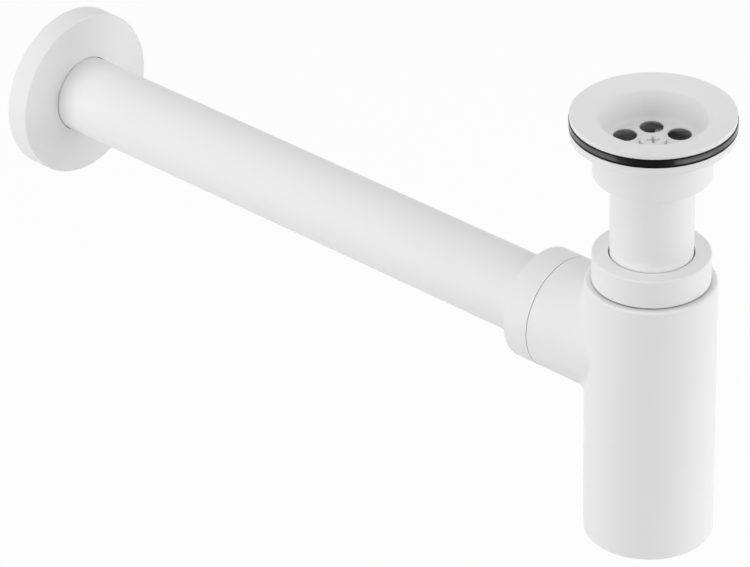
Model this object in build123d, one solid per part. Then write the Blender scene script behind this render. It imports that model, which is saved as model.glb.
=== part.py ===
"""Bottle trap with a strainer waste, a horizontal outlet pipe and a wall flange.

Millimetres, +Z up. The origin is where the waste's axis crosses the plane in which the two gaskets
meet, which is where a basin is clamped. The outlet pipe runs along +Y to the wall.
"""
import os

from build123d import *

# Overall layout, measured from the clamping plane and the bottle's axis
SEAT_TO_OUTLET = 101.0          # clamping plane down to the outlet pipe's axis
OUTLET_TO_SHOULDER = 32.5       # outlet axis up to the bottle's shoulder
OUTLET_TO_BASE = 79.8           # outlet axis down to the bottle's base
BRANCH_REACH = 43.1             # bottle axis to the end face of the branch
WALL_REACH = 319.0              # bottle axis to the wall

# Inlet tube and outlet pipe
TUBE_DIAMETER = 32.0
TUBE_WALL = 1.2
WATER_SEAL = 46.0               # depth of the inlet tube's mouth below the outlet's lowest line
PIPE_INSERT = 15.0              # length of outlet pipe inside the branch

# Centre screw, with a cheese head and a cross recess
SCREW_CORE_DIAMETER = 4.8
SCREW_THREAD_HEIGHT = 0.55
SCREW_THREAD_CLEARANCE = 0.1
SCREW_HEAD_DIAMETER = 9.7
SCREW_HEAD_RISE = 1.1           # head's top above the bowl's floor
SCREW_HEAD_SINK = 0.8           # head's seat below the bowl's floor
SCREW_HEAD_GAP = 0.4            # round the head in its counterbore
SCREW_HEAD_ROUND = 0.3
SCREW_LENGTH = 39.2             # bowl's floor down to the tip
SCREW_TIP_CHAMFER = 0.8
RECESS_SPAN = 5.0
RECESS_SLOT = 1.2
RECESS_DEPTH = 1.7
RECESS_TAPER = 8.0              # degrees
RECESS_ANGLE = 43.0             # degrees

# Strainer: a flange with a dished bowl and a ring of holes
HOLE_COUNT = 6
HOLE_DIAMETER = 9.2
HOLE_WEB = 2.35                 # between the screw's head and a hole
HOLE_ANGLE = 42.6               # degrees, first hole
FLOOR_MARGIN = 1.3              # between a hole and the foot of the bowl's wall
BOWL_DEPTH = 12.55              # flange's rim down to the bowl's floor
BOWL_TAPER = 3.4                # by how much the mouth is wider than the floor, on the radius
BOWL_WALL = 1.1
BOWL_FLOOR = 1.0
BOSS_HEIGHT = 3.6               # boss round the screw, from the floor's top down
BOSS_WALL = 1.0
MOUTH_ROUND = 2.0
FLOOR_ROUND = 1.8
FLANGE_WIDTH = 10.3             # mouth's corner to the flange's edge
FLANGE_EDGE = 1.95
FLANGE_DISH = 1.1               # fall of the flange's top towards the mouth
FLANGE_ROUND = 0.6

# Gaskets on either side of the basin
FLANGE_GASKET = 1.6
RIM_GASKET = 2.0
GASKET_SETBACK = 0.15           # gasket's edge inside the flange's edge
GASKET_BORE_MARGIN = 0.5        # between the bowl and the gasket's bore
GASKET_ROUND = 0.5              # outer edge on the metal's side

# Waste cup, with a spider that takes the centre screw
CUP_CLEARANCE = 0.5             # between the bowl and the cup
CUP_WALL = 1.3
CUP_RIM = 3.3
CUP_ROUND = 0.3
FUNNEL_RISE = 0.8
SOCKET_DEPTH = 3.0              # how far the inlet tube goes into the cup's bottom
SOCKET_LIP = 0.8
TUBE_WASHER = 0.8
SPIDER_GAP = 0.4                # between the strainer's boss and the spider
SPOKE_COUNT = 3
SPOKE_WIDTH = 3.8
SPOKE_HEIGHT = 3.3
SPOKE_ANGLE = 30.0              # degrees, first spoke
SPOKE_DROP = 1.8                # between the spokes and the tube's washer
HUB_WALL = 2.2
HUB_HEIGHT = 6.0

# Compression joint, the same at the inlet and at the outlet
SEAL_CLEARANCE = 0.1            # seals on tubes and in their seats
SEAL_WIDTH = 2.7
SEAL_TAPER = 1.4
SEAL_DEPTH = 4.6
SEAL_LIP = 1.0
SLIP_RING = 1.0
SPIGOT_LENGTH = 7.8
SPIGOT_WALL = 1.7
THREAD_HEIGHT = 0.65            # ridge of the spigot's thread
THREAD_CLEARANCE = 0.3
NUT_WALL = 1.25
NUT_END = 2.4
INLET_NUT_GAP = 0.8             # between the inlet nut and the bottle's shoulder
OUTLET_NUT_GAP = 0.35           # between the outlet nut and the branch's end
NUT_ROUND = 0.6
GUIDE_CLEARANCE = 0.5           # nuts, rings and bores round a tube

# Bottle
BOTTLE_DIAMETER = 50.8
BOTTLE_WALL = 1.8
BOTTLE_FLOOR = 2.5
SHOULDER_THICKNESS = 3.0
SHOULDER_ROUND = 1.0
BASE_ROUND = 0.8
FLOOR_CORNER = 2.0              # inside corner at the bottle's floor
BRANCH_WALL = 2.4
BRANCH_END = 4.0                # end wall of the branch, round the pipe
BRANCH_FILLET = 4.0             # where the branch runs into the bottle

# Wall flange, hollow behind, with a collar that holds a grip ring
WALL_FLANGE_DIAMETER = 70.0
WALL_FLANGE_DEPTH = 10.0
WALL_FLANGE_SKIN = 1.8
WALL_FLANGE_ROUND = 0.8
COLLAR_CLEARANCE = 0.25         # round the pipe
COLLAR_WALL = 4.0
COLLAR_DEPTH = 8.0
GRIP_RING_SECTION = 2.4         # diameter of the ring's section
GRIP_RING_CLEARANCE = 0.05      # in its groove

# Radii that follow from the sizes above
tube_r = TUBE_DIAMETER / 2
bore_r = tube_r - TUBE_WALL
guide_r = tube_r + GUIDE_CLEARANCE

screw_core_r = SCREW_CORE_DIAMETER / 2
screw_hole_r = screw_core_r + SCREW_THREAD_HEIGHT + SCREW_THREAD_CLEARANCE
screw_head_r = SCREW_HEAD_DIAMETER / 2

hole_r = HOLE_DIAMETER / 2
hole_circle_r = screw_head_r + HOLE_WEB + hole_r
floor_r = hole_circle_r + hole_r + FLOOR_MARGIN
mouth_r = floor_r + BOWL_TAPER
flange_r = mouth_r + FLANGE_WIDTH
gasket_bore_r = mouth_r + BOWL_WALL + GASKET_BORE_MARGIN

seal_bore_r = tube_r + SEAL_CLEARANCE
seal_r = seal_bore_r + SEAL_WIDTH
spigot_r = seal_r + SEAL_CLEARANCE + SPIGOT_WALL
nut_bore_r = spigot_r + THREAD_HEIGHT + THREAD_CLEARANCE
nut_r = nut_bore_r + NUT_WALL

bottle_r = BOTTLE_DIAMETER / 2

# Heights that follow from the sizes above
flange_top = FLANGE_GASKET + FLANGE_EDGE
mouth_top = flange_top - FLANGE_DISH
bowl_floor = flange_top - BOWL_DEPTH
head_seat = bowl_floor - SCREW_HEAD_SINK
head_top = bowl_floor + SCREW_HEAD_RISE
spider_top = bowl_floor - BOSS_HEIGHT - SPIDER_GAP
spider_foot = spider_top - SPOKE_HEIGHT
rim_top = -RIM_GASKET
socket_top = spider_foot - SPOKE_DROP
tube_top = socket_top - TUBE_WASHER
cup_bottom = tube_top - SOCKET_DEPTH
tube_mouth = -SEAT_TO_OUTLET - bore_r - WATER_SEAL
shoulder = -SEAT_TO_OUTLET + OUTLET_TO_SHOULDER
base = -SEAT_TO_OUTLET - OUTLET_TO_BASE
slip_ring_foot = SPIGOT_LENGTH + SEAL_LIP
nut_ceiling = slip_ring_foot + SLIP_RING

# Places of the two compression joints, each with its own +Z along the tube that it holds
outlet_axis = Pos(0, 0, -SEAT_TO_OUTLET) * Rot(-90, 0, 0)
inlet_joint = Pos(0, 0, shoulder)
outlet_joint = outlet_axis * Pos(0, 0, BRANCH_REACH)


def turned(*corners):
    """Solid of revolution about Z from corners (radius, height) or (radius, height, round)."""
    points = [corner[:2] for corner in corners]
    rounds = [corner[2] if len(corner) > 2 else 0 for corner in corners]
    outline = FilletPolyline(*points, radius=rounds, close=True)
    return revolve(Plane.XZ * make_face(outline.edges()), Axis.Z)


def ring(inner, outer, foot, head):
    """Plain round ring or tube about Z."""
    return turned((inner, foot), (outer, foot), (outer, head), (inner, head))


def rod(radius, foot, head):
    """Plain round rod about Z."""
    return turned((0, foot), (radius, foot), (radius, head), (0, head))


def bowl_outside(height):
    """Radius of the bowl's tapered outside at a height."""
    slope = BOWL_TAPER / (mouth_top - bowl_floor)
    return mouth_r + BOWL_WALL - slope * (mouth_top - height)


def strainer():
    """Dished flange with a ring of holes and a counterbored boss for the centre screw."""
    under = bowl_floor - BOWL_FLOOR
    body = turned((0, bowl_floor), (floor_r, bowl_floor, FLOOR_ROUND), (mouth_r, mouth_top, MOUTH_ROUND),
                  (flange_r, flange_top, FLANGE_ROUND), (flange_r, FLANGE_GASKET),
                  (bowl_outside(FLANGE_GASKET), FLANGE_GASKET), (bowl_outside(under), under, FLOOR_ROUND),
                  (0, under))
    holes = PolarLocations(hole_circle_r, HOLE_COUNT, HOLE_ANGLE)
    body -= [place * rod(hole_r, under - BOSS_HEIGHT, flange_top) for place in holes]
    boss_foot = bowl_floor - BOSS_HEIGHT
    body += rod(screw_head_r + BOSS_WALL, boss_foot, under)
    body -= rod(screw_head_r + SCREW_HEAD_GAP, head_seat, bowl_floor)
    return body - rod(screw_hole_r, boss_foot, bowl_floor)


def centre_screw():
    """Cheese-head screw that draws the strainer and the cup together."""
    tip = bowl_floor - SCREW_LENGTH
    body = turned((0, tip), (screw_core_r - SCREW_TIP_CHAMFER, tip), (screw_core_r, tip + SCREW_TIP_CHAMFER),
                  (screw_core_r, head_seat), (screw_head_r, head_seat),
                  (screw_head_r, head_top, SCREW_HEAD_ROUND), (0, head_top))
    cross = Rectangle(RECESS_SPAN, RECESS_SLOT) + Rectangle(RECESS_SLOT, RECESS_SPAN)
    recess = extrude(cross, amount=-RECESS_DEPTH, taper=RECESS_TAPER)
    return body - Pos(0, 0, head_top) * Rot(0, 0, RECESS_ANGLE) * recess


def gasket(foot, head, foot_round, head_round):
    """Flat rubber ring under the flange or on the cup's rim."""
    gasket_r = flange_r - GASKET_SETBACK
    return turned((gasket_bore_r, foot), (gasket_r, foot, foot_round), (gasket_r, head, head_round),
                  (gasket_bore_r, head))


def waste_cup():
    """Flanged cup with a funnel floor, a socket for the inlet tube and a spider for the screw."""
    cup_bore_r = bowl_outside(rim_top) + CUP_CLEARANCE
    cup_r = cup_bore_r + CUP_WALL
    lip_top = socket_top + SOCKET_LIP
    body = turned((bore_r, socket_top), (bore_r, lip_top), (cup_bore_r, lip_top + FUNNEL_RISE),
                  (cup_bore_r, rim_top), (flange_r, rim_top, CUP_ROUND),
                  (flange_r, rim_top - CUP_RIM, CUP_ROUND), (cup_r, rim_top - CUP_RIM),
                  (cup_r, cup_bottom, CUP_ROUND), (tube_r, cup_bottom), (tube_r, socket_top))
    spoke_reach = cup_bore_r + CUP_WALL / 2
    spoke = extrude(Pos(spoke_reach / 2, 0) * Rectangle(spoke_reach, SPOKE_WIDTH), amount=-SPOKE_HEIGHT)
    for place in PolarLocations(0, SPOKE_COUNT, SPOKE_ANGLE):
        body += Pos(0, 0, spider_top) * place * spoke
    body += rod(screw_hole_r + HUB_WALL, spider_top - HUB_HEIGHT, spider_top)
    return body - rod(screw_hole_r, spider_top - HUB_HEIGHT, spider_top)


def compression_nut(gap):
    """Round nut over a spigot, with an end wall that bears on the slip ring and a gap behind it."""
    head = nut_ceiling + NUT_END
    return turned((nut_bore_r, gap), (nut_r, gap), (nut_r, head, NUT_ROUND), (guide_r, head),
                  (guide_r, nut_ceiling), (nut_bore_r, nut_ceiling))


def slip_ring():
    """Flat ring that lets the nut turn without dragging the seal."""
    return ring(guide_r, spigot_r, slip_ring_foot, nut_ceiling)


def seal():
    """Rubber cone ring with a lip that lies on the spigot's end."""
    seal_foot = SPIGOT_LENGTH - SEAL_DEPTH
    return turned((seal_bore_r, seal_foot), (seal_r - SEAL_TAPER, seal_foot), (seal_r, SPIGOT_LENGTH),
                  (spigot_r, SPIGOT_LENGTH), (spigot_r, slip_ring_foot), (seal_bore_r, slip_ring_foot))


def spigot_passage(depth):
    """Space through a spigot: the seal's cone seat, then a bore that guides the tube."""
    seat_foot = SPIGOT_LENGTH - SEAL_DEPTH - SEAL_CLEARANCE
    seat_r = seal_r + SEAL_CLEARANCE
    return turned((0, -depth), (guide_r, -depth), (guide_r, seat_foot), (seat_r - SEAL_TAPER, seat_foot),
                  (seat_r, SPIGOT_LENGTH), (0, SPIGOT_LENGTH))


def trap_bottle():
    """One-piece bottle with a side branch and a spigot at each of its two mouths."""
    body = turned((0, base), (bottle_r, base, BASE_ROUND), (bottle_r, shoulder, SHOULDER_ROUND),
                  (0, shoulder))
    body += outlet_axis * rod(nut_r, 0, BRANCH_REACH)
    seam = body.edges().filter_by(lambda edge: edge.geom_type not in (GeomType.LINE, GeomType.CIRCLE))
    body = fillet(seam, BRANCH_FILLET)
    body += inlet_joint * rod(spigot_r, 0, SPIGOT_LENGTH)
    body += outlet_joint * rod(spigot_r, 0, SPIGOT_LENGTH)
    inside_r = bottle_r - BOTTLE_WALL
    floor = base + BOTTLE_FLOOR
    body -= turned((0, floor), (inside_r, floor, FLOOR_CORNER), (inside_r, shoulder - SHOULDER_THICKNESS),
                   (0, shoulder - SHOULDER_THICKNESS))
    body -= outlet_axis * rod(nut_r - BRANCH_WALL, 0, BRANCH_REACH - BRANCH_END)
    body -= inlet_joint * spigot_passage(SHOULDER_THICKNESS)
    return body - outlet_joint * spigot_passage(BRANCH_END)


def wall_flange():
    """Round cover plate, hollow behind, with a grooved collar round the pipe."""
    front = WALL_REACH - WALL_FLANGE_DEPTH
    rim_r = WALL_FLANGE_DIAMETER / 2
    pipe_hole_r = tube_r + COLLAR_CLEARANCE
    collar_r = pipe_hole_r + COLLAR_WALL
    skin = front + WALL_FLANGE_SKIN
    collar_foot = front + COLLAR_DEPTH
    groove_r = seal_bore_r + GRIP_RING_SECTION + GRIP_RING_CLEARANCE
    half_groove = GRIP_RING_SECTION / 2 + GRIP_RING_CLEARANCE
    middle = front + COLLAR_DEPTH / 2
    plate = turned((pipe_hole_r, front), (rim_r, front, WALL_FLANGE_ROUND), (rim_r, WALL_REACH),
                   (rim_r - WALL_FLANGE_SKIN, WALL_REACH), (rim_r - WALL_FLANGE_SKIN, skin),
                   (collar_r, skin), (collar_r, collar_foot), (pipe_hole_r, collar_foot))
    return plate - ring(tube_r, groove_r, middle - half_groove, middle + half_groove)


def grip_ring():
    """Rubber ring in the wall flange's collar that grips the pipe."""
    middle = WALL_REACH - WALL_FLANGE_DEPTH + COLLAR_DEPTH / 2
    section_r = GRIP_RING_SECTION / 2
    section = Pos(seal_bore_r + section_r, middle) * Circle(section_r)
    return revolve(Plane.XZ * section, Axis.Z)


nodes = {
    "strainer": strainer(),
    "centre_screw": centre_screw(),
    "flange_gasket": gasket(0, FLANGE_GASKET, 0, GASKET_ROUND),
    "rim_gasket": gasket(rim_top, 0, GASKET_ROUND, 0),
    "waste_cup": waste_cup(),
    "tube_washer": ring(bore_r, tube_r, tube_top, socket_top),
    "inlet_tube": ring(bore_r, tube_r, tube_mouth, tube_top),
    "trap_bottle": trap_bottle(),
    "outlet_pipe": outlet_axis * ring(bore_r, tube_r, BRANCH_REACH - PIPE_INSERT, WALL_REACH),
    "wall_flange": outlet_axis * wall_flange(),
    "grip_ring": outlet_axis * grip_ring(),
}
compression_joints = [("inlet", inlet_joint, INLET_NUT_GAP), ("outlet", outlet_joint, OUTLET_NUT_GAP)]
for end, joint, nut_gap in compression_joints:
    nodes[f"{end}_nut"] = joint * compression_nut(nut_gap)
    nodes[f"{end}_slip_ring"] = joint * slip_ring()
    nodes[f"{end}_seal"] = joint * seal()

os.makedirs("parts", exist_ok=True)
for name, solid in nodes.items():
    export_step(solid, f"parts/{name}.step")
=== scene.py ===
"""Studio scene of a white bottle trap: finishes, finer pieces and threads, then floor, lamps and camera."""
from __future__ import annotations

import logging
import math
from dataclasses import dataclass
from enum import Enum
from typing import Any, Union

import bpy
import numpy as np
from mathutils import Matrix, Vector

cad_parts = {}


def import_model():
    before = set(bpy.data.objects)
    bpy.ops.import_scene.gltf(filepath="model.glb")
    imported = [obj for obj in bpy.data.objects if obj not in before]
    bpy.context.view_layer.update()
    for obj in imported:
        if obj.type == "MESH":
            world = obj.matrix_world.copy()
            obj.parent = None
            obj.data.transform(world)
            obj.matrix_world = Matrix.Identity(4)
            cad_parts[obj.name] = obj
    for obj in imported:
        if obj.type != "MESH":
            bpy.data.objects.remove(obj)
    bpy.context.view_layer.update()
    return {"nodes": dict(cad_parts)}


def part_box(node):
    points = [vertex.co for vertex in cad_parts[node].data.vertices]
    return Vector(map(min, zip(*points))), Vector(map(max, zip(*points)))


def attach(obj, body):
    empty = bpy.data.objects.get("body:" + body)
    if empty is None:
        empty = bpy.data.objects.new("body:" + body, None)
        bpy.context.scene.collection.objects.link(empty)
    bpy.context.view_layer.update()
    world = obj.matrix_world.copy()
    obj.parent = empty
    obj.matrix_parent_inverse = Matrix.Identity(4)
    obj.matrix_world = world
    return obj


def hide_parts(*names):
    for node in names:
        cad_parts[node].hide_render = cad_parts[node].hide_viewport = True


LOG = logging.getLogger("bottle_trap")
MM = 0.001  # in metres, as all lengths here
FAR = 1.0  # past every end of the trap
SPIGOT_LENGTH = 7.8 * MM
SCREW_HEAD_RISE = 1.1 * MM

Number = Union[float, int]
Colour = tuple[float, float, float]
Inputs = dict[Union[str, int], Any]


class Axis(Enum):
    """Line that a turned piece is round about."""

    WASTE = "upright, through the strainer and the bottle"
    OUTLET = "level, through the outlet pipe and the wall flange"


class Detail(Enum):
    """How many octaves of finer noise a coarse noise carries."""

    SMOOTH = 2.0
    UNEVEN = 3.0
    BROKEN = 4.0


class Wire:
    """One output socket of a shader node. Arithmetic on it adds Math nodes to its graph."""

    def __init__(self, graph: Graph, socket: bpy.types.NodeSocket) -> None:
        """Keeps the socket and the graph that new nodes go into."""
        self.graph = graph
        self.socket = socket

    def _math(self, operation: str, *values: Any, clamp: bool = False) -> Wire:
        """Result of a Math node on wires and numbers, kept between 0 and 1 if it is clamped."""
        settings = {"operation": operation, "use_clamp": clamp}
        return self.graph.node("ShaderNodeMath", settings, dict(enumerate(values)))["Value"]

    def __add__(self, other: Any) -> Wire:
        """Sum."""
        return self._math("ADD", self, other)

    def __radd__(self, other: Any) -> Wire:
        """Sum with a number on the left."""
        return self._math("ADD", other, self)

    def __sub__(self, other: Any) -> Wire:
        """Difference."""
        return self._math("SUBTRACT", self, other)

    def __rsub__(self, other: Any) -> Wire:
        """Difference from a number on the left."""
        return self._math("SUBTRACT", other, self)

    def __mul__(self, other: Any) -> Wire:
        """Product."""
        return self._math("MULTIPLY", self, other)

    def __rmul__(self, other: Any) -> Wire:
        """Product with a number on the left."""
        return self._math("MULTIPLY", other, self)

    def __truediv__(self, other: Any) -> Wire:
        """Quotient."""
        return self._math("DIVIDE", self, other)

    def __rtruediv__(self, other: Any) -> Wire:
        """Quotient with a number on the left."""
        return self._math("DIVIDE", other, self)

    def __pow__(self, other: Any) -> Wire:
        """Power."""
        return self._math("POWER", self, other)

    def __rpow__(self, other: Any) -> Wire:
        """Power of a number on the left."""
        return self._math("POWER", other, self)

    def __abs__(self) -> Wire:
        """Size without its sign."""
        return self._math("ABSOLUTE", self)

    def clamped(self) -> Wire:
        """This value kept between 0 and 1."""
        return self._math("ADD", self, 0.0, clamp=True)

    def over(self, limit: Number, soft: Number) -> Wire:
        """Mask that goes from 0 to 1, over a soft width, as this value passes a limit."""
        return ((self - limit) / soft + 0.5).clamped()

    def under(self, limit: Number, soft: Number) -> Wire:
        """The opposite of over."""
        return 1 - self.over(limit, soft)

    def about(self, middle: Number, swing: Number) -> Wire:
        """Noise about one half turned into a value about another middle, times a swing."""
        return middle + (self - 0.5) * swing

    def root_of_squares(self, other: Wire) -> Wire:
        """Length of the vector that has this value and the other as its two parts."""
        return (self * self + other * other) ** 0.5


class Graph:
    """Node tree of a material or a world, with one method that adds any node."""

    def __init__(self, owner: Union[bpy.types.Material, bpy.types.World]) -> None:
        """Empties the owner's node tree.

        Args:
            owner: the material or the world.
        """
        owner.use_nodes = True
        self.tree = owner.node_tree
        self.tree.nodes.clear()

    def node(self, kind: str, settings: dict[str, Any] | None = None,
             inputs: Inputs | None = None) -> dict[str, Wire]:
        """Adds a node.

        Args:
            kind: the node's type.
            settings: its own properties, set first.
            inputs: values or wires of its sockets, by name or number.

        Returns:
            Its outputs by name.
        """
        made = self.tree.nodes.new(kind)
        for name, value in (settings or {}).items():
            setattr(made, name, value)
        for key, value in (inputs or {}).items():
            socket = self._socket(made, key)
            if isinstance(value, Wire):
                self.tree.links.new(value.socket, socket)
            else:
                socket.default_value = value
        return {out.name: Wire(self, out) for out in made.outputs if out.enabled}

    @staticmethod
    def _socket(made: bpy.types.Node, key: Union[str, int]) -> bpy.types.NodeSocket:
        """Finds an input of a node.

        Args:
            made: the node.
            key: the input's number, or the name that it has in use.

        Returns:
            The socket.
        """
        if isinstance(key, int):
            return made.inputs[key]
        return next(socket for socket in made.inputs if socket.name == key and socket.enabled)

    def place(self) -> Wire:
        """The piece's own coordinates, in metres."""
        return self.node("ShaderNodeTexCoord")["Object"]

    def parts(self, vector: Wire) -> dict[str, Wire]:
        """A vector's X, Y and Z."""
        return self.node("ShaderNodeSeparateXYZ", {}, {"Vector": vector})

    def blend(self, mask: Wire, first: Any, second: Any) -> Wire:
        """Mixes two colours or wires, where a mask of 0 gives the first and 1 the second."""
        inputs = {"Factor": mask, "A": rgba(first), "B": rgba(second)}
        return self.node("ShaderNodeMix", {"data_type": "RGBA"}, inputs)["Result"]

    def mottle(self, mask: Wire, colour: Colour, dark: float) -> Wire:
        """A colour that is darker by a factor where a mask is 0."""
        return self.blend(mask, scaled(colour, dark), colour)

    def noise(self, place: Wire, grain: float, detail: Detail) -> Wire:
        """Noise with values about one half and patches of the size of the grain."""
        inputs = {"Vector": place, "Scale": 1 / grain, "Detail": detail.value}
        return self.node("ShaderNodeTexNoise", {"noise_dimensions": "3D"}, inputs)["Fac"]

    def bump(self, height: Wire) -> Wire:
        """Normal of a surface that is raised by a height in metres."""
        inputs = {"Strength": 1.0, "Distance": 1.0, "Height": height}
        return self.node("ShaderNodeBump", {}, inputs)["Normal"]

    def diffuse(self, colour: Colour) -> Wire:
        """Plain matt shader of one colour."""
        return self.node("ShaderNodeBsdfDiffuse", {}, {"Color": rgba(colour)})["BSDF"]

    def clear(self) -> Wire:
        """Shader that lets all light through."""
        return self.node("ShaderNodeBsdfTransparent")["BSDF"]

    def seen(self, to_camera: float) -> Wire:
        """How far a glow is seen: a share of it by the camera, and all of it in gloss and glass.

        Args:
            to_camera: the camera's share.

        Returns:
            A mask between 0 and 1.
        """
        path = self.node("ShaderNodeLightPath")
        seen = path["Is Camera Ray"] * to_camera + path["Is Glossy Ray"] + path["Is Transmission Ray"]
        return seen.clamped()

    def mix(self, mask: Wire, first: Wire, second: Wire) -> Wire:
        """Mixes two shaders, where a mask of 0 gives the first and 1 the second."""
        return self.node("ShaderNodeMixShader", {}, {0: mask, 1: first, 2: second})["Shader"]

    def end(self, shader: Wire) -> None:
        """Sends a shader to the material's output."""
        self.node("ShaderNodeOutputMaterial", {}, {"Surface": shader})


def rgba(colour: Any) -> Any:
    """A colour with alpha 1, or a wire as it is."""
    return colour if isinstance(colour, Wire) else (*colour, 1.0)


def scaled(colour: Colour, share: float) -> Colour:
    """A colour made darker or lighter by a factor."""
    return tuple(share * part for part in colour)


def direction(azimuth_deg: float, elevation_deg: float) -> Vector:
    """Unit vector towards an azimuth and an elevation.

    Args:
        azimuth_deg: 0 looks from the side away from the wall, and 90 from +X.
        elevation_deg: height above the horizon.

    Returns:
        The vector (sin a cos e, -cos a cos e, sin e).
    """
    a, e = math.radians(azimuth_deg), math.radians(elevation_deg)
    return Vector((math.sin(a) * math.cos(e), -math.cos(a) * math.cos(e), math.sin(e)))


def put_in_scene(name: str, data: Any) -> bpy.types.Object:
    """Makes an object of a mesh, lamp or camera at the origin.

    Args:
        name: the object's name.
        data: what it holds.

    Returns:
        The object, in the scene.
    """
    made = bpy.data.objects.new(name, data)
    bpy.context.scene.collection.objects.link(made)
    return made


def stand_in(mesh: bpy.types.Mesh, node: str, body: str) -> bpy.types.Object:
    """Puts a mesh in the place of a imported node.

    Args:
        mesh: the finer shape.
        node: the node that it stands for.
        body: what it rides on.

    Returns:
        The mesh as an object.
    """
    made = put_in_scene(mesh.name, mesh)
    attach(made, body)
    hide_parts(node)
    return made


@dataclass(frozen=True)
class Layout:
    """Levels and radii of the trap, in metres, read from the frame."""

    outlet_z: float
    bowl_floor: float
    tube_top: float
    cup_bottom: float
    shoulder: float
    base: float
    branch_end: float
    wall_front: float
    inlet_nut_top: float
    outlet_nut_end: float
    spigot_r: float
    nut_r: float
    tube_r: float
    bottle_r: float

    @classmethod
    def read(cls) -> Layout:
        """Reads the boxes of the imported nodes.

        Returns:
            The trap's main levels and radii.
        """
        pipe_low, pipe_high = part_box("outlet_pipe")
        bottle_low, bottle_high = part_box("trap_bottle")
        nut_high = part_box("inlet_nut")[1]
        return cls(
            outlet_z=(pipe_low.z + pipe_high.z) / 2,
            bowl_floor=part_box("centre_screw")[1].z - SCREW_HEAD_RISE,
            tube_top=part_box("inlet_tube")[1].z,
            cup_bottom=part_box("waste_cup")[0].z,
            shoulder=bottle_high.z - SPIGOT_LENGTH,
            base=bottle_low.z,
            branch_end=bottle_high.y - SPIGOT_LENGTH,
            wall_front=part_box("wall_flange")[0].y,
            inlet_nut_top=nut_high.z,
            outlet_nut_end=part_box("outlet_nut")[1].y,
            spigot_r=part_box("inlet_seal")[1].x,
            nut_r=nut_high.x,
            tube_r=pipe_high.x,
            bottle_r=bottle_high.x,
        )


@dataclass(frozen=True)
class Finish:
    """A finish of the trap's pieces, which ends in one Principled shader."""

    name: str

    def material(self) -> bpy.types.Material:
        """Builds the finish.

        Returns:
            The material.
        """
        made = bpy.data.materials.new(self.name)
        graph = Graph(made)
        inputs = self.inputs(graph, graph.place())
        graph.end(graph.node("ShaderNodeBsdfPrincipled", {}, inputs)["BSDF"])
        return made

    def inputs(self, graph: Graph, place: Wire) -> Inputs:
        """Values and wires of the shader's sockets, which each finish works out for itself."""
        raise NotImplementedError


@dataclass(frozen=True)
class BareAndShadeZone:
    """Zone where the coating gives way to uncoated metal, and in the cup and the strainer's holes to painted
    shade: between two levels of an axis, inside a radius and outside a core.
    """

    axis: Axis
    radius: float
    start: float
    end: float
    core: float = 0.0


@dataclass(frozen=True)
class BareAndShadeSurface:
    """What shows where the coating gives way (uncoated metal, and in the cup and the strainer's holes
    painted shade), and the length along the axis over which the coating fades out.
    """

    colour: Colour
    roughness: float
    metal: float
    fade: float


DULL_BRASS = BareAndShadeSurface((0.17, 0.15, 0.125), 0.5, 0.7, 0.3 * MM)
# painted shade: dark grey on the strainer's back and hole walls, which darkens the holes
PAINTED_HOLE_SHADE = BareAndShadeSurface((0.4, 0.395, 0.385), 0.6, 0.0, 0.2 * MM)
# painted shade: near black inside the cup, from near its floor to a little above the tube's top, with a 2.4
# mm fade
PAINTED_CUP_SHADE = BareAndShadeSurface((0.1, 0.097, 0.092), 0.6, 0.0, 2.4 * MM)


@dataclass(frozen=True)
class MatteCoat(Finish):
    """Matte white coating with a fine orange peel, over what shows where it gives way: uncoated metal, and
    in the cup and the strainer's holes painted shade.
    """

    outlet_z: float
    bare_and_shade_zones: tuple[BareAndShadeZone, ...]
    # what the zones show: uncoated metal, and for the cup and the strainer's holes painted shade
    under: BareAndShadeSurface = DULL_BRASS
    wall_edge: float = 0.3 * MM
    colour: Colour = (0.83, 0.83, 0.83)
    tone_grain: float = 28 * MM
    tone_low: float = 0.985
    tone_high: float = 1.012
    roughness: float = 0.5
    roughness_swing: float = 0.12
    shine: float = 0.4
    peel_grain: float = 0.9 * MM
    peel_height: float = 0.006 * MM
    dust_grain: float = 0.22 * MM
    dust_height: float = 0.002 * MM
    stain_grain: float = 4 * MM
    stain_dark: float = 0.75

    def inputs(self, graph: Graph, place: Wire) -> Inputs:
        """Works out what goes into the shader.

        Args:
            graph: the material's graph.
            place: coordinates in metres.

        Returns:
            Values and wires of the shader's sockets.
        """
        tone = graph.noise(place, self.tone_grain, Detail.UNEVEN)
        white = graph.blend(tone, scaled(self.colour, self.tone_low), scaled(self.colour, self.tone_high))
        peel = graph.noise(place, self.peel_grain, Detail.SMOOTH)
        dust = graph.noise(place, self.dust_grain, Detail.UNEVEN)
        rough = dust.about(self.roughness, self.roughness_swing)
        # mask of the zones of uncoated metal and of painted shade
        bare_and_shade = self._bare_and_shade_mask(graph, place)
        stain = graph.noise(place, self.stain_grain, Detail.BROKEN)
        dull = graph.mottle(stain, self.under.colour, self.stain_dark)
        return {
            "Base Color": graph.blend(bare_and_shade, white, dull),
            "Roughness": rough + bare_and_shade * (self.under.roughness - self.roughness),
            "Metallic": bare_and_shade * self.under.metal,
            "Specular IOR Level": self.shine,
            "Normal": graph.bump(peel * self.peel_height + dust * self.dust_height),
        }

    def _bare_and_shade_mask(self, graph: Graph, place: Wire) -> Wire:
        """Finds the zones of uncoated metal and of painted shade by the distance from their axis and the
        level along it.

        Args:
            graph: the material's graph.
            place: coordinates in metres.

        Returns:
            A mask with soft edges, 1 in the bare zones and 0 on the coating.
        """
        part = graph.parts(place)
        fade = self.under.fade
        coated: Any = 1
        for zone in self.bare_and_shade_zones:
            upright = zone.axis is Axis.WASTE
            radius = part["X"].root_of_squares(part["Y"] if upright else part["Z"] - self.outlet_z)
            along = part["Z"] if upright else part["Y"]
            inside = radius.under(zone.radius, self.wall_edge)
            if zone.core:
                inside = inside * radius.over(zone.core, self.wall_edge)
            inside = inside * along.over(zone.start, fade) * along.under(zone.end, fade)
            coated = (1 - inside) * coated
        return 1 - coated


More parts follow.
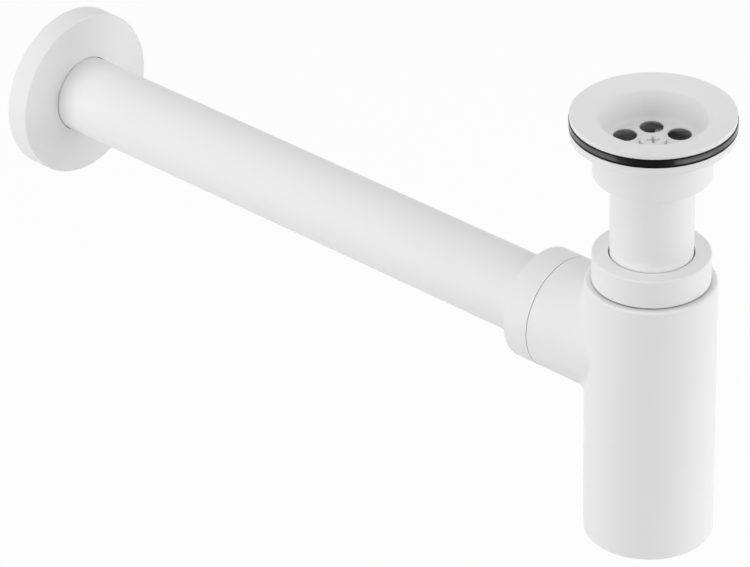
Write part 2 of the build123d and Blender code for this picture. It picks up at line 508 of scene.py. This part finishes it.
@dataclass(frozen=True)
class BlackRubber(Finish):
    """Matt black moulded rubber with a fine grain and a faint bloom. A clamped ring has a shiny crown."""

    colour: Colour = (0.005, 0.005, 0.005)
    bloom: Colour = (0.009, 0.009, 0.009)
    bloom_grain: float = 3 * MM
    roughness: float = 0.45
    roughness_swing: float = 0.1
    shine: float = 0.1
    grain: float = 0.35 * MM
    grain_height: float = 0.006 * MM
    crown_half: float = 0.0
    crown_edge: float = 0.3 * MM
    crown_roughness: float = 0.2
    crown_ior: float = 1.8

    def inputs(self, graph: Graph, place: Wire) -> Inputs:
        """Works out what goes into the shader. The crown is the band on both sides of the level 0.

        Args:
            graph: the material's graph.
            place: coordinates in metres.

        Returns:
            Values and wires of the shader's sockets.
        """
        patch = graph.noise(place, self.bloom_grain, Detail.UNEVEN)
        grain = graph.noise(place, self.grain, Detail.UNEVEN)
        inputs: Inputs = {
            "Base Color": graph.blend(patch, self.colour, self.bloom),
            "Roughness": grain.about(self.roughness, self.roughness_swing),
            "Specular IOR Level": self.shine,
            "Normal": graph.bump(grain * self.grain_height),
        }
        if self.crown_half:
            level = graph.parts(place)["Z"]
            inputs["Coat Weight"] = abs(level).under(self.crown_half, self.crown_edge)
            inputs["Coat Roughness"] = self.crown_roughness
            inputs["Coat IOR"] = self.crown_ior
        return inputs


@dataclass(frozen=True)
class Nylon(Finish):
    """Natural nylon, slightly waxy."""

    colour: Colour = (0.74, 0.73, 0.68)
    cloud_grain: float = 5 * MM
    cloud_dark: float = 0.92
    roughness: float = 0.38
    roughness_swing: float = 0.15
    depth_share: float = 0.08
    depth: tuple[float, float, float] = (2 * MM, 2 * MM, 1.5 * MM)

    def inputs(self, graph: Graph, place: Wire) -> Inputs:
        """Works out what goes into the shader.

        Args:
            graph: the material's graph.
            place: coordinates in metres.

        Returns:
            Values and wires of the shader's sockets.
        """
        cloud = graph.noise(place, self.cloud_grain, Detail.UNEVEN)
        return {
            "Base Color": graph.mottle(cloud, self.colour, self.cloud_dark),
            "Roughness": cloud.about(self.roughness, self.roughness_swing),
            "Subsurface Weight": self.depth_share,
            "Subsurface Radius": self.depth,
        }


@dataclass(frozen=True)
class CutMetal(Finish):
    """Metal as a lathe leaves it, with fine turning marks along an axis."""

    axis: Axis
    colour: Colour
    tarnish_grain: float = 6 * MM
    tarnish_dark: float = 0.8
    roughness: float = 0.3
    roughness_swing: float = 0.25
    mark: float = 0.12 * MM

    def inputs(self, graph: Graph, place: Wire) -> Inputs:
        """Works out what goes into the shader.

        Args:
            graph: the material's graph.
            place: coordinates in metres.

        Returns:
            Values and wires of the shader's sockets.
        """
        along = graph.parts(place)["Z" if self.axis is Axis.WASTE else "Y"]
        line = graph.node("ShaderNodeCombineXYZ", {}, {"X": along})["Vector"]
        marks = graph.noise(line, self.mark, Detail.SMOOTH)
        tarnish = graph.noise(place, self.tarnish_grain, Detail.BROKEN)
        return {
            "Base Color": graph.mottle(tarnish, self.colour, self.tarnish_dark),
            "Metallic": 1.0,
            "Roughness": marks.about(self.roughness, self.roughness_swing),
        }


def swept_mesh(name: str, rings: np.ndarray, looped: bool = False) -> bpy.types.Mesh:
    """Closed mesh of a closed profile carried along a path.

    Each quad joins two neighbours of a ring to the same two of the next ring. The sign of the volume that
    the quads enclose tells whether they have to be turned round.

    Args:
        name: the mesh's name.
        rings: array of shape (steps, profile points, 3).
        looped: whether the path returns to its start, or has a cap on each end.

    Returns:
        The mesh, with its faces pointing outwards.
    """
    steps, around = rings.shape[:2]
    index = np.arange(steps * around).reshape(steps, around)
    here = index if looped else index[:-1]
    ahead = np.roll(index, -1, axis=0)[:len(here)]
    corners = [here, np.roll(here, -1, axis=1), np.roll(ahead, -1, axis=1), ahead]
    quads = np.stack(corners, axis=-1).reshape(-1, 4)
    caps = [] if looped else [index[0, ::-1].tolist(), index[-1].tolist()]
    points = rings.reshape(-1, 3)
    a, b, c, d = points[quads].transpose(1, 0, 2)
    volume = np.sum(a * np.cross(b, c)) + np.sum(a * np.cross(c, d))
    faces = quads.tolist() + caps
    if volume < 0:
        faces = [face[::-1] for face in faces]
    mesh = bpy.data.meshes.new(name)
    mesh.from_pydata(points.tolist(), [], faces)
    mesh.validate()
    return mesh


def read_merged(mesh: bpy.types.Mesh) -> tuple[np.ndarray, np.ndarray, np.ndarray]:
    """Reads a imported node's triangles, and makes one of the points that share a place.

    Args:
        mesh: the node's mesh, which is loose along the borders of its faces.

    Returns:
        The points, the three points of each triangle, and the normal at each corner of a triangle.
    """
    points = np.empty(3 * len(mesh.vertices))
    mesh.vertices.foreach_get("co", points)
    corners = np.empty(len(mesh.loops), dtype=np.int32)
    mesh.loops.foreach_get("vertex_index", corners)
    normals = np.empty(3 * len(mesh.loops))
    mesh.corner_normals.foreach_get("vector", normals)
    points, merged = np.unique(points.reshape(-1, 3), axis=0, return_inverse=True)
    return points, merged.ravel()[corners].reshape(-1, 3), normals.reshape(-1, 3)


@dataclass(frozen=True)
class ScrewThread:
    """One right-hand thread: a ridge of trapezoid section along a helix about an axis."""

    name: str
    body: str
    axis: Axis
    core_r: float
    height: float
    start: float
    length: float
    pitch: float
    inward: bool = False
    steps_per_turn: int = 72
    sunk: float = 0.08 * MM
    foot_half: float = 0.34
    crest_half: float = 0.11
    run_out: float = 0.33

    def build(self, outlet_z: float) -> bpy.types.Object:
        """Builds the thread.

        At the angle t the ridge's middle lies start + pitch * t / 360 degrees along the axis. The section is
        a trapezoid, widest at the core. Its height grows from nothing and fades again over the run-out.

        Args:
            outlet_z: height of the outlet pipe's axis.

        Returns:
            The thread as an object that rides on its body.
        """
        turns = self.length / self.pitch
        angle = np.linspace(0.0, 2 * math.pi * turns, int(turns * self.steps_per_turn) + 1)
        run = angle / (2 * math.pi)
        fade = np.clip(np.minimum(run, turns - run) / self.run_out, 0.0, 1.0)
        fade = fade * fade * (3 - 2 * fade)
        across = self.pitch * np.array([-self.foot_half, -self.crest_half, self.crest_half, self.foot_half])
        rise = np.array([0.0, 1.0, 1.0, 0.0])
        sign = -1.0 if self.inward else 1.0
        radius = self.core_r + sign * (rise * self.height * fade[:, None] - (1 - rise) * self.sunk)
        along = self.start + self.pitch * run[:, None] + across
        side, ahead = radius * np.cos(angle[:, None]), radius * np.sin(angle[:, None])
        if self.axis is Axis.WASTE:
            rings = np.stack([side, ahead, along], axis=-1)
        else:
            rings = np.stack([ahead, along, outlet_z + side], axis=-1)
        made = put_in_scene(self.name, swept_mesh(self.name, rings))
        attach(made, self.body)
        return made


@dataclass(frozen=True)
class SqueezedGasket:
    """Rubber ring that the clamping screw presses out a little past the metal's edge."""

    node: str
    body: str
    metal_above: bool
    swell: float = 0.4 * MM
    corner: float = 0.2 * MM
    corner_steps: int = 5
    steps_around: int = 288
    crease_deg: float = 40.0

    def build(self, solid: bpy.types.Object) -> bpy.types.Object:
        """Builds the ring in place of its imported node.

        The section is the node's own, with its outer face moved out by the swell and a quarter circle at the
        corner next to the metal. At the angle t a point of the section lies at (r cos t, r sin t, z).

        Args:
            solid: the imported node, which gives the bore and the finish.

        Returns:
            The ring as an object that rides on its body.
        """
        low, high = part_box(self.node)
        metal, seam = (high.z, low.z) if self.metal_above else (low.z, high.z)
        up = math.copysign(1.0, metal - seam)
        points = read_merged(solid.data)[0]
        bore = np.hypot(points[:, 0], points[:, 1]).min()
        outer = high.x + self.swell
        bend = np.linspace(0.0, math.pi / 2, self.corner_steps + 1)
        corner_r = outer - self.corner * (1 - np.cos(bend))
        corner_z = metal - up * self.corner * (1 - np.sin(bend))
        r = np.concatenate([[bore, outer], corner_r, [bore]])
        z = np.concatenate([[seam, seam], corner_z, [metal]])
        turn = np.linspace(0.0, 2 * math.pi, self.steps_around, endpoint=False)[:, None]
        level = np.broadcast_to(z, (turn.size, z.size))
        rings = np.stack([r * np.cos(turn), r * np.sin(turn), level], axis=-1)
        mesh = swept_mesh(f"{self.node}_squeezed", rings, looped=True)
        mesh.shade_smooth()
        mesh.set_sharp_from_angle(angle=math.radians(self.crease_deg))
        mesh.materials.append(solid.data.materials[0])
        return stand_in(mesh, self.node, self.body)


@dataclass(frozen=True)
class CrispStrainer:
    """Strainer whose flange has a crisp edge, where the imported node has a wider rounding.

    The margin is how far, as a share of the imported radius, a point of the edge may lie off its arc.
    """

    node: str
    body: str
    packed_round: float = 0.6 * MM
    crisp_round: float = 0.12 * MM
    arc_margin: float = 0.05

    def build(self, solid: bpy.types.Object) -> bpy.types.Object:
        """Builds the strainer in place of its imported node, from the node's merged triangles and normals.

        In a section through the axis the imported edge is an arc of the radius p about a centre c. Its point
        c + p u goes to c + s + q u, where q is the crisp radius. The shift s is (p - q) times the vector
        (1, (1 + sin a) / cos a), which keeps the new arc tangent to the upright side and to the top, where a
        is the angle at which the top rises outwards. The normals stay, because u does.

        Args:
            solid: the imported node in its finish.

        Returns:
            The strainer as an object that rides on its body.
        """
        points, triangles, normals = read_merged(solid.data)
        radius = np.hypot(points[:, 0], points[:, 1])
        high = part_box(self.node)[1]
        centre = np.array([high.x, high.z]) - self.packed_round
        way = (np.stack([radius, points[:, 2]], axis=-1) - centre) / self.packed_round
        edge = (np.abs(np.hypot(*way.T) - 1) < self.arc_margin) & (way[:, 1] > -self.arc_margin)
        lean = -way[edge, 0].min()
        less = self.packed_round - self.crisp_round
        shift = less * np.array([1.0, (1 + lean) / math.sqrt(1 - lean * lean)])
        moved = centre + shift + self.crisp_round * way[edge]
        points[edge, :2] *= (moved[:, 0] / radius[edge])[:, None]
        points[edge, 2] = moved[:, 1]
        mesh = bpy.data.meshes.new(f"{self.node}_crisp")
        mesh.from_pydata(points.tolist(), [], triangles.tolist())
        mesh.shade_smooth()
        mesh.normals_split_custom_set(normals.tolist())
        mesh.materials.append(solid.data.materials[0])
        return stand_in(mesh, self.node, self.body)


@dataclass
class SubAssembly:
    """Pieces of the trap that go together, and what all such groups do with them."""

    nodes: dict[str, bpy.types.Object]
    layout: Layout
    seal_rubber: bpy.types.Material

    def dress(self) -> None:
        """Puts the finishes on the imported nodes, which each group does for itself."""
        raise NotImplementedError

    def build(self) -> None:
        """Builds the group's finer pieces on its dressed nodes, if it has any."""

    def wear(self, node: str, material: bpy.types.Material) -> None:
        """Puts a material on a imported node.

        Args:
            node: the node's name.
            material: its finish.
        """
        mesh = self.nodes[node].data
        mesh.materials.clear()
        mesh.materials.append(material)
        LOG.info("%s wears %s", node, material.name)

    def coat(self, node: str, *bare_and_shade: BareAndShadeZone, under: BareAndShadeSurface = DULL_BRASS) -> None:
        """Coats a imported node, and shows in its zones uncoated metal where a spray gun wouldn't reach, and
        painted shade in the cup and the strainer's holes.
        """
        self.wear(node, MatteCoat(f"{node}_coat", self.layout.outlet_z, bare_and_shade, under).material())

    def cut(self, thread: ScrewThread, material: bpy.types.Material) -> None:
        """Adds a thread.

        Args:
            thread: its sizes.
            material: its finish.
        """
        piece = thread.build(self.layout.outlet_z)
        piece.data.materials.append(material)
        LOG.info("%s rides on %s", piece.name, thread.body)


@dataclass
class BasinWaste(SubAssembly):
    """Strainer, centre screw, gaskets, cup and inlet tube, which hang in the basin."""

    # the strainer's back zone, out to strainer_back_r and outside strainer_hub_r, is painted shade that
    # darkens the holes
    strainer_back_r: float = 17.2 * MM
    strainer_hub_r: float = 6.5 * MM
    strainer_face: float = 0.25 * MM
    screw_coat_depth: float = 0.9 * MM
    # the cup's inside zone, from cup_floor above the cup's bottom to cup_fade_height above the tube's top,
    # is painted shade
    cup_inside_r: float = 22.0 * MM
    cup_floor: float = 2.0 * MM
    cup_fade_height: float = 2.6 * MM
    tube_skin: float = 0.5 * MM
    gasket_crown_half: float = 0.95 * MM
    screw_core_r: float = 2.4 * MM
    screw_ridge: float = 0.55 * MM
    screw_pitch: float = 1.0 * MM
    screw_tip: float = 1.2 * MM
    screw_plain: float = 6.0 * MM
    screw_steps: int = 40
    screw_steel: Colour = (0.56, 0.56, 0.55)

    def build(self) -> None:
        """Builds the crisp strainer and the squeezed gaskets, in their nodes' finishes, and the thread."""
        strainer = CrispStrainer("strainer", "strainer")
        upper = SqueezedGasket("flange_gasket", "strainer", metal_above=True)
        lower = SqueezedGasket("rim_gasket", "waste", metal_above=False)
        for finer in (strainer, upper, lower):
            piece = finer.build(self.nodes[finer.node])
            LOG.info("%s rides on %s", piece.name, finer.body)
        steel = CutMetal("screw_thread_steel", Axis.WASTE, self.screw_steel).material()
        low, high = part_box("centre_screw")
        start, length = low.z + self.screw_tip, high.z - low.z - self.screw_plain
        thread = ScrewThread("centre_screw_thread", "screw", Axis.WASTE, self.screw_core_r, self.screw_ridge,
                             start, length, self.screw_pitch, steps_per_turn=self.screw_steps)
        self.cut(thread, steel)

    def dress(self) -> None:
        """Coats the metal, and puts rubber on the gaskets and the tube's washer."""
        at = self.layout
        back = at.bowl_floor - self.strainer_face
        low, high = at.cup_bottom + self.cup_floor, at.tube_top + self.cup_fade_height
        # painted shade on the strainer's back and in its holes
        strainer_back = BareAndShadeZone(Axis.WASTE, self.strainer_back_r, -FAR, back, self.strainer_hub_r)
        # painted shade inside the cup
        cup_inside = BareAndShadeZone(Axis.WASTE, self.cup_inside_r, low, high)
        self.coat("strainer", strainer_back, under=PAINTED_HOLE_SHADE)
        self.coat("centre_screw", BareAndShadeZone(Axis.WASTE, FAR, -FAR, at.bowl_floor - self.screw_coat_depth))
        self.coat("waste_cup", cup_inside, under=PAINTED_CUP_SHADE)
        self.coat("inlet_tube", BareAndShadeZone(Axis.WASTE, at.tube_r - self.tube_skin, -FAR, FAR))
        clamped = BlackRubber("gasket_rubber", crown_half=self.gasket_crown_half).material()
        self.wear("flange_gasket", clamped)
        self.wear("rim_gasket", clamped)
        self.wear("tube_washer", self.seal_rubber)


@dataclass
class Bottle(SubAssembly):
    """Bottle with its branch, the two nuts, and the seals and slip rings under them."""

    wall: float = 1.2 * MM
    floor: float = 1.5 * MM
    neck: float = 2.0 * MM
    branch_root: float = 3.0 * MM
    spigot_skin: float = 0.5 * MM
    nut_wall: float = 0.6 * MM
    nut_lip: float = 1.5 * MM
    nut_bore_gap: float = 0.95 * MM
    thread_pitch: float = 2.309 * MM
    thread_ridge: float = 0.65 * MM
    thread_lead: float = 1.0 * MM
    thread_ends: float = 1.9 * MM
    brass: Colour = (0.72, 0.55, 0.28)

    def build(self) -> None:
        """Builds the threads of the two spigots and the two nuts, which show when a nut is off."""
        spigot_r = self.layout.spigot_r
        length = SPIGOT_LENGTH - self.thread_ends
        ends = (("inlet", Axis.WASTE, self.layout.shoulder), ("outlet", Axis.OUTLET, self.layout.branch_end))
        for end, axis, face in ends:
            finish = CutMetal(f"{end}_thread_brass", axis, self.brass).material()
            start = face + self.thread_lead
            self.cut(ScrewThread(f"{end}_spigot_thread", "bottle", axis, spigot_r, self.thread_ridge,
                                 start, length, self.thread_pitch), finish)
            self.cut(ScrewThread(f"{end}_nut_thread", f"{end}_nut", axis, spigot_r + self.nut_bore_gap,
                                 self.thread_ridge, start + self.thread_pitch / 2, length, self.thread_pitch,
                                 inward=True), finish)

    def dress(self) -> None:
        """Coats the bottle and the nuts, and puts rubber on the seals and nylon on the slip rings."""
        at = self.layout
        neck, branch_neck = at.shoulder - self.neck, at.branch_end - self.neck
        branch_r, spigot_r = at.nut_r - self.wall, at.spigot_r + self.spigot_skin
        nut_r = at.nut_r - self.nut_wall
        self.coat(
            "trap_bottle",
            BareAndShadeZone(Axis.WASTE, at.bottle_r - self.wall, at.base + self.floor, neck),
            BareAndShadeZone(Axis.WASTE, spigot_r, neck, FAR),
            BareAndShadeZone(Axis.OUTLET, branch_r, at.bottle_r - self.branch_root, branch_neck),
            BareAndShadeZone(Axis.OUTLET, spigot_r, branch_neck, FAR),
        )
        self.coat("inlet_nut", BareAndShadeZone(Axis.WASTE, nut_r, -FAR, at.inlet_nut_top - self.nut_lip))
        self.coat("outlet_nut", BareAndShadeZone(Axis.OUTLET, nut_r, -FAR, at.outlet_nut_end - self.nut_lip))
        nylon = Nylon("slip_ring_nylon").material()
        for end in ("inlet", "outlet"):
            self.wear(f"{end}_seal", self.seal_rubber)
            self.wear(f"{end}_slip_ring", nylon)


@dataclass
class WallOutlet(SubAssembly):
    """Outlet pipe, and the wall flange with its grip ring."""

    pipe_skin: float = 0.5 * MM
    flange_inside_r: float = 34.2 * MM
    flange_wall: float = 1.2 * MM

    def dress(self) -> None:
        """Coats the pipe and the flange, and puts rubber on the grip ring."""
        at = self.layout
        self.coat("outlet_pipe", BareAndShadeZone(Axis.OUTLET, at.tube_r - self.pipe_skin, -FAR, FAR))
        hollow = BareAndShadeZone(Axis.OUTLET, self.flange_inside_r, at.wall_front + self.flange_wall, FAR)
        self.coat("wall_flange", hollow)
        self.wear("grip_ring", self.seal_rubber)


@dataclass(frozen=True)
class SoftBox:
    """Square area lamp aimed at the trap."""

    name: str
    azimuth_deg: float
    elevation_deg: float
    distance: float
    side: float
    watts: float

    def build(self, aim: Vector) -> bpy.types.Object:
        """Puts up the lamp.

        Args:
            aim: the point that it faces.

        Returns:
            The lamp.
        """
        lamp = bpy.data.lights.new(self.name, "AREA")
        lamp.shape = "SQUARE"
        lamp.size = self.side
        lamp.energy = self.watts
        made = put_in_scene(self.name, lamp)
        back = direction(self.azimuth_deg, self.elevation_deg)
        made.location = aim + self.distance * back
        made.rotation_euler = (-back).to_track_quat("-Z", "Y").to_euler()
        return made


@dataclass(frozen=True)
class Studio:
    """Pale floor with a dark cloth in front, white surround and soft lamps."""

    floor_z: float = -0.75
    floor_half: float = 12.0
    floor_colour: Colour = (0.9, 0.9, 0.9)
    floor_glow: float = 0.94
    white: Colour = (1.0, 1.0, 1.0)
    cloth_colour: Colour = (0.01, 0.01, 0.01)
    cloth_lift: float = 0.002
    cloth_reach: float = 0.3
    cloth_edge: float = 0.03
    cloth_distances: tuple[float, float] = (0.3, 6.0)
    cloth_azimuths_deg: tuple[float, float] = (-101.0, -20.0)
    cloth_steps: tuple[int, int] = (5, 25)
    ambient: float = 0.373
    lamps: tuple[SoftBox, ...] = (
        SoftBox("right_softbox", 43.4, 10.0, 1.6, 1.2, 6.4),
        SoftBox("right_high_softbox", 13.4, 30.0, 1.6, 1.2, 6.5),
        SoftBox("front_right_softbox", -16.6, 10.0, 1.6, 1.2, 3.3),
        SoftBox("back_softbox", 133.4, 50.0, 1.6, 1.2, 3.7),
        SoftBox("left_softbox", -106.6, 10.0, 1.6, 1.2, 12.9),
        SoftBox("left_high_softbox", -136.6, 50.0, 1.6, 1.2, 4.3),
        SoftBox("under_left_softbox", -106.6, -45.0, 0.65, 0.5, 0.3),
        SoftBox("under_right_softbox", 13.4, -45.0, 0.65, 0.5, 0.8),
    )

    def build(self, aim: Vector) -> None:
        """Builds the floor, the cloth, the surround and the lamps.

        Args:
            aim: the point that the lamps face.
        """
        self._build_floor()
        self._build_dark_cloth()
        self._build_surround()
        for lamp in self.lamps:
            lamp.build(aim)
            LOG.info("lamp %s", lamp.name)

    def _lay_sheet(self, name: str, points: np.ndarray) -> bpy.types.Object:
        """Lays a sheet with its face up.

        Args:
            name: the sheet's name.
            points: grid of shape (rows, columns, 3). Its first direction crossed with its second points up.

        Returns:
            The sheet, in the scene.
        """
        index = np.arange(points.shape[0] * points.shape[1]).reshape(points.shape[:2])
        corners = [index[:-1, :-1], index[1:, :-1], index[1:, 1:], index[:-1, 1:]]
        quads = np.stack(corners, axis=-1).reshape(-1, 4)
        mesh = bpy.data.meshes.new(name)
        mesh.from_pydata(points.reshape(-1, 3).tolist(), [], quads.tolist())
        sheet = put_in_scene(name, mesh)
        LOG.info("%s laid", name)
        return sheet

    def _build_floor(self) -> None:
        """Flat square sheet far below the trap, seen from above only."""
        span = np.linspace(-self.floor_half, self.floor_half, 2)
        x, y = np.meshgrid(span, span, indexing="ij")
        floor = self._lay_sheet("floor", np.stack([x, y, np.full_like(x, self.floor_z)], axis=-1))
        made = bpy.data.materials.new("floor_paper")
        graph = Graph(made)
        back = graph.node("ShaderNodeNewGeometry")["Backfacing"]
        paper = graph.diffuse(self.floor_colour)
        glow = graph.node("ShaderNodeEmission", {}, {"Color": rgba(self.white), "Strength": 1.0})["Emission"]
        lit = graph.mix(graph.seen(self.floor_glow), paper, glow)
        graph.end(graph.mix(back, lit, graph.clear()))
        floor.data.materials.append(made)

    def _build_dark_cloth(self) -> None:
        """Dark cloth on the floor in front, which the shiny rubber reflects and the camera doesn't see.

        A sector of a ring: at the distance r and the azimuth a, a point lies at (r sin a, -r cos a). The
        cloth is clear to short rays, so that it leaves no shadow on the floor just under it.
        """
        rows, columns = self.cloth_steps
        distance = np.linspace(*self.cloth_distances, rows)
        azimuth = np.radians(np.linspace(*self.cloth_azimuths_deg, columns))
        r, a = np.meshgrid(distance, azimuth, indexing="ij")
        level = np.full_like(r, self.floor_z + self.cloth_lift)
        cloth = self._lay_sheet("dark_cloth", np.stack([r * np.sin(a), -r * np.cos(a), level], axis=-1))
        cloth.visible_camera = False
        made = bpy.data.materials.new("dark_cloth")
        graph = Graph(made)
        felt = graph.diffuse(self.cloth_colour)
        ray = graph.node("ShaderNodeLightPath")["Ray Length"]
        graph.end(graph.mix(ray.over(self.cloth_reach, self.cloth_edge), graph.clear(), felt))
        cloth.data.materials.append(made)

    def _build_surround(self) -> None:
        """World that is white to the eye and dimmer as a light."""
        world = bpy.data.worlds.new("surround")
        bpy.context.scene.world = world
        graph = Graph(world)
        strength = self.ambient + graph.seen(1.0) * (1 - self.ambient)
        sky = graph.node("ShaderNodeBackground", {}, {"Color": rgba(self.white), "Strength": strength})
        graph.node("ShaderNodeOutputWorld", {}, {"Surface": sky["Background"]})


@dataclass(frozen=True)
class PhotoCamera:
    """Camera at the photograph's viewing angle, found by fitting the round edges of the trap."""

    azimuth_deg: float = -46.645
    elevation_deg: float = 31.446
    roll_deg: float = -1.236
    distance: float = 1.840893
    right_of_aim: float = -0.105383
    above_aim: float = 0.025845
    lens_mm: float = 230.87
    sensor_mm: float = 36.0
    clip_start: float = 0.05
    clip_end: float = 60.0

    def build(self, aim: Vector) -> bpy.types.Object:
        """Puts up the camera.

        Args:
            aim: the crossing of the bottle's and the pipe's axes.

        Returns:
            The camera.
        """
        azimuth, roll = math.radians(self.azimuth_deg), math.radians(self.roll_deg)
        back = direction(self.azimuth_deg, self.elevation_deg)
        level = Vector((math.cos(azimuth), math.sin(azimuth), 0.0))
        right = math.cos(roll) * level + math.sin(roll) * back.cross(level)
        up = back.cross(right)
        lens = bpy.data.cameras.new("photo_camera")
        lens.lens = self.lens_mm
        lens.sensor_width = self.sensor_mm
        lens.clip_start = self.clip_start
        lens.clip_end = self.clip_end
        made = put_in_scene("photo_camera", lens)
        place = aim + self.distance * back + self.right_of_aim * right + self.above_aim * up
        turn = Matrix((right, up, back)).transposed()
        made.matrix_world = Matrix.Translation(place) @ turn.to_4x4()
        bpy.context.scene.camera = made
        return made


def main() -> None:
    """Builds the scene in order."""
    logging.basicConfig(level=logging.INFO, format="%(name)s: %(message)s")
    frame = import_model()
    layout = Layout.read()
    seal_rubber = BlackRubber("seal_rubber").material()
    for group in (BasinWaste, Bottle, WallOutlet):
        pieces = group(frame["nodes"], layout, seal_rubber)
        pieces.dress()
        pieces.build()
    aim = Vector((0.0, 0.0, layout.outlet_z))
    Studio().build(aim)
    PhotoCamera().build(aim)
    bpy.context.scene.view_settings.view_transform = "Standard"


if __name__ == "__main__":
    main()
